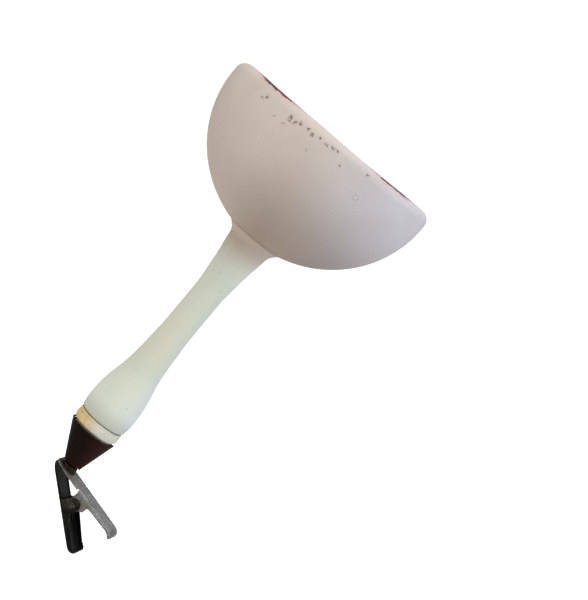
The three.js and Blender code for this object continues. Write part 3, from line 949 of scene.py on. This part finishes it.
def flat_sheet(lever):
    """Triangulates the flat sheet with its two pin holes: points (u, s) and triangles."""
    half = lever_half_outline(lever)
    outline = half + [(u, -s) for u, s in reversed(half[1:-1])]
    outline = resample(outline, 0.4)
    hole_at = bend_line(lever) + side_reach(BACK_FROM_PIN)
    radius = PIN_RADIUS + PIN_CLEARANCE
    holes = []

    def from_holes(u, s):
        return min(math.hypot(u, s - hole_at), math.hypot(u, s + hole_at))

    for side in (1, -1):
        turn = [2 * math.pi * i / 20 for i in range(20)]
        holes.append([(radius * math.cos(a), side * hole_at + radius * math.sin(a)) for a in turn])
    points = list(outline)
    edges = [(i, (i + 1) % len(outline)) for i in range(len(outline))]
    for hole in holes:
        first = len(points)
        points += hole
        edges += [(first + i, first + (i + 1) % len(hole)) for i in range(len(hole))]
    first_u = outline[0][0]
    columns = round((max(u for u, _ in outline) - first_u) / 0.4)
    for i in range(columns + 1):
        u = first_u + 0.4 * i
        for s in sheet_rows(lever):
            point = (u, s)
            clear_of_holes = from_holes(u, s) > radius + 0.15
            if clear_of_holes and inside(point, outline) and clearance(point, outline) > 0.15:
                points.append(point)
    flat, _, triangles, _, _, _ = delaunay_2d_cdt([Vector(p) for p in points], edges, [], 1, 1e-5)
    kept = []
    for triangle in triangles:
        u = sum(flat[i].x for i in triangle) / 3
        s = sum(flat[i].y for i in triangle) / 3
        if from_holes(u, s) > radius * 0.98 and inside((u, s), outline):
            kept.append(tuple(triangle))
    return [(point.x, point.y) for point in flat], kept


def build_lever(name, lever, materials):
    """A lever folded from its flat sheet; materials are for its outside, inside and edges."""
    flat, triangles = flat_sheet(lever)
    curve = spine(lever)
    matrix = lever_matrix(lever)
    points = [matrix @ Vector(fold(lever, curve, u, s)) for u, s in flat]
    if lever["side"] < 0:
        triangles = [tuple(reversed(triangle)) for triangle in triangles]
    piece = make_piece(name, points, triangles, materials)
    thick = piece.modifiers.new("sheet", "SOLIDIFY")
    thick.thickness = SHEET * MM
    thick.offset = -1
    thick.use_even_offset = True
    thick.material_offset = 1
    thick.material_offset_rim = 2
    soft = piece.modifiers.new("edges", "BEVEL")
    soft.width = SHEET_EDGE_ROUNDING * MM
    soft.segments = 2
    soft.limit_method = "ANGLE"
    soft.angle_limit = 50 * DEGREE
    soft.harden_normals = True
    apply_modifiers(piece)
    return piece


def apply_modifiers(piece):
    """Turns the piece's modifiers into its mesh."""
    evaluated = piece.evaluated_get(bpy.context.evaluated_depsgraph_get())
    made = bpy.data.meshes.new_from_object(evaluated)
    piece.modifiers.clear()
    piece.data = made


def build_pin(materials):
    half = PIN_HALF_LENGTH
    head = PIN_HEAD_RADIUS
    dome_start = half - 0.16
    end = [(PIN_RADIUS, half - 0.3), (head * 0.92, half - 0.34)]
    end += [(head, half - 0.26), (head, dome_start)]
    for angle in (20 * DEGREE, 45 * DEGREE, 70 * DEGREE):
        end.append((head * math.cos(angle), dome_start + 0.16 * math.sin(angle)))
    outline = [(-half, 0.0)] + [(-z, radius) for radius, z in reversed(end)]
    outline += [(z, radius) for radius, z in end] + [(half, 0.0)]
    pin = lathe("pin_rivet", outline, 28, [materials["pin_steel"]])
    turn = lever_matrix({"slope": 0.0}) @ Matrix.Rotation(90 * DEGREE, 4, "X")
    turn.translation *= MM
    pin.data.transform(turn)
    return pin


def spring_point(share):
    """The torsion spring's wire: a leg, turns round the pin, and a leg on the other lever."""
    leg_share = 0.14
    start = 90 * DEGREE - CARRIER["slope"] + SPRING_LEG_LEAN
    end = 270 * DEGREE - PINCH["slope"] - SPRING_LEG_LEAN + 2 * math.pi * SPRING_FULL_TURNS
    turned = min(1.0, max(0.0, (share - leg_share) / (1 - 2 * leg_share)))
    angle = start + (end - start) * turned
    y = SPRING_PITCH * (SPRING_FULL_TURNS + 0.5) * (turned - 0.5)
    leg = min(0.0, share - leg_share) + max(0.0, share - 1 + leg_share)
    along = SPRING_LEG * leg / leg_share
    x = SPRING_RADIUS * math.cos(angle) - along * math.sin(angle)
    z = SPRING_RADIUS * math.sin(angle) + along * math.cos(angle)
    return (x, y, z)


def build_spring(materials):
    matrix = lever_matrix({"slope": 0.0})
    steps = 240
    path = [matrix @ Vector(spring_point(i / steps)) for i in range(steps + 1)]
    return tube("torsion_wire", path, SPRING_WIRE, 10, [materials["spring_steel"]])


# ---------------------------------------------------------------- stage

def make_camera():
    data = bpy.data.cameras.new("camera")
    data.lens = CAMERA_LENS
    data.sensor_width = 36
    data.clip_start = 0.01
    data.clip_end = 50
    camera = bpy.data.objects.new("camera", data)
    bpy.context.scene.collection.objects.link(camera)
    turn = (CAMERA_AIM - CAMERA_AT).to_track_quat("-Z", "Y").to_matrix().to_4x4()
    camera.matrix_world = Matrix.Translation(CAMERA_AT) @ turn @ Matrix.Rotation(CAMERA_ROLL, 4, "Z")
    bpy.context.scene.camera = camera


def make_light(name, place, aim, size, power, tint):
    data = bpy.data.lights.new(name, "AREA")
    data.shape = "DISK"
    data.size = size
    data.energy = power
    data.color = tint
    light = bpy.data.objects.new(name, data)
    light.location = place
    light.rotation_euler = (Vector(aim) - Vector(place)).to_track_quat("-Z", "Y").to_euler()
    bpy.context.scene.collection.objects.link(light)


def make_world():
    """White surroundings: full white to the eye, weaker as light."""
    world = bpy.data.worlds.new("studio")
    world.use_nodes = True
    nodes = world.node_tree.nodes
    links = world.node_tree.links
    back = nodes["Background"]
    back.inputs["Color"].default_value = (1, 1, 1, 1)
    seen = nodes.new("ShaderNodeLightPath")
    strength = nodes.new("ShaderNodeMapRange")
    strength.inputs["To Min"].default_value = WORLD_AS_LIGHT
    strength.inputs["To Max"].default_value = WORLD_AS_SEEN
    links.new(seen.outputs["Is Camera Ray"], strength.inputs["Value"])
    links.new(strength.outputs[0], back.inputs["Strength"])
    bpy.context.scene.world = world


def floor_material():
    """A pale floor that looks white to the eye, as the surroundings do."""
    material = bpy.data.materials.new("pale_floor")
    material.use_nodes = True
    nodes = material.node_tree.nodes
    links = material.node_tree.links
    shader = nodes["Principled BSDF"]
    shader.inputs["Base Color"].default_value = (0.8, 0.8, 0.8, 1)
    shader.inputs["Roughness"].default_value = 0.9
    shader.inputs["Specular IOR Level"].default_value = 0.1
    shader.inputs["Emission Color"].default_value = (1, 1, 1, 1)
    seen = nodes.new("ShaderNodeLightPath")
    strength = nodes.new("ShaderNodeMath")
    strength.operation = "MULTIPLY"
    strength.inputs[1].default_value = FLOOR_GLOW_AS_SEEN
    links.new(seen.outputs["Is Camera Ray"], strength.inputs[0])
    links.new(strength.outputs[0], shader.inputs["Emission Strength"])
    return material


def make_stage():
    mesh = bpy.data.meshes.new("floor")
    size = FLOOR_HALF_SIZE
    low = CAD_BOX[0].z - FLOOR_BELOW_OBJECT
    corners = [(-size, -size, low), (size, -size, low), (size, size, low), (-size, size, low)]
    mesh.from_pydata(corners, [], [(0, 1, 2, 3)])
    mesh.materials.append(floor_material())
    floor = bpy.data.objects.new("floor", mesh)
    bpy.context.scene.collection.objects.link(floor)
    make_world()
    make_light("key", (-0.45, -0.55, 0.75), (0, 0, 0.09), 0.5, 4.2, (1.0, 0.97, 0.94))
    make_light("fill", (0.7, -0.35, 0.35), (0, 0, 0.07), 0.6, 2.4, (0.88, 0.94, 1.0))
    make_light("top", (0.15, 0.25, 0.9), (0, 0, 0.1), 0.6, 3, (1.0, 1.0, 1.0))
    bpy.context.scene.view_settings.view_transform = "Standard"


# ---------------------------------------------------------------- assembly

def place(piece, body, slot, *nodes):
    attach(piece, body)
    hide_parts(*nodes)


def build_object():
    materials = make_materials()
    place(build_cap(materials), "mushroom", "cap_glass", "glass_cap")
    place(build_stem(materials), "mushroom", "stem_glass", "glass_stem")
    place(build_cement(materials), "mushroom", "plaster", "cap_joint_cement")
    place(build_collar(materials), "mushroom", "plaster", "plaster_collar")
    place(build_solder(materials), "clip_carrier", "solder", "coil_foot_solder")
    worn = [materials["worn_tin"], materials["worn_tin"], materials["bare_edge_and_highlight"]]
    dark = [materials["dark_tin"]] * 3
    place(build_lever("carrier_sheet", CARRIER, worn), "clip_carrier", "worn_tin", "carrier_lever")
    place(build_lever("pinch_sheet", PINCH, dark), "clip_pinch", "dark_tin", "pinch_lever")
    place(build_pin(materials), "clip_carrier", "worn_tin", "pivot_pin")

    lower, upper = build_coil(materials)
    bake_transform(lower)
    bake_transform(upper)
    for half in (lower, upper):
        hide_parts("coil_spring")

    wire = build_spring(materials)
    pin = Vector(HINGE["pos_m"])
    across = Vector(HINGE["axis"]).normalized() * SPRING_PITCH * MM * (SPRING_FULL_TURNS + 0.5) / 2
    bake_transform(wire)
    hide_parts("torsion_spring")


make_camera()
build_object()
make_stage()
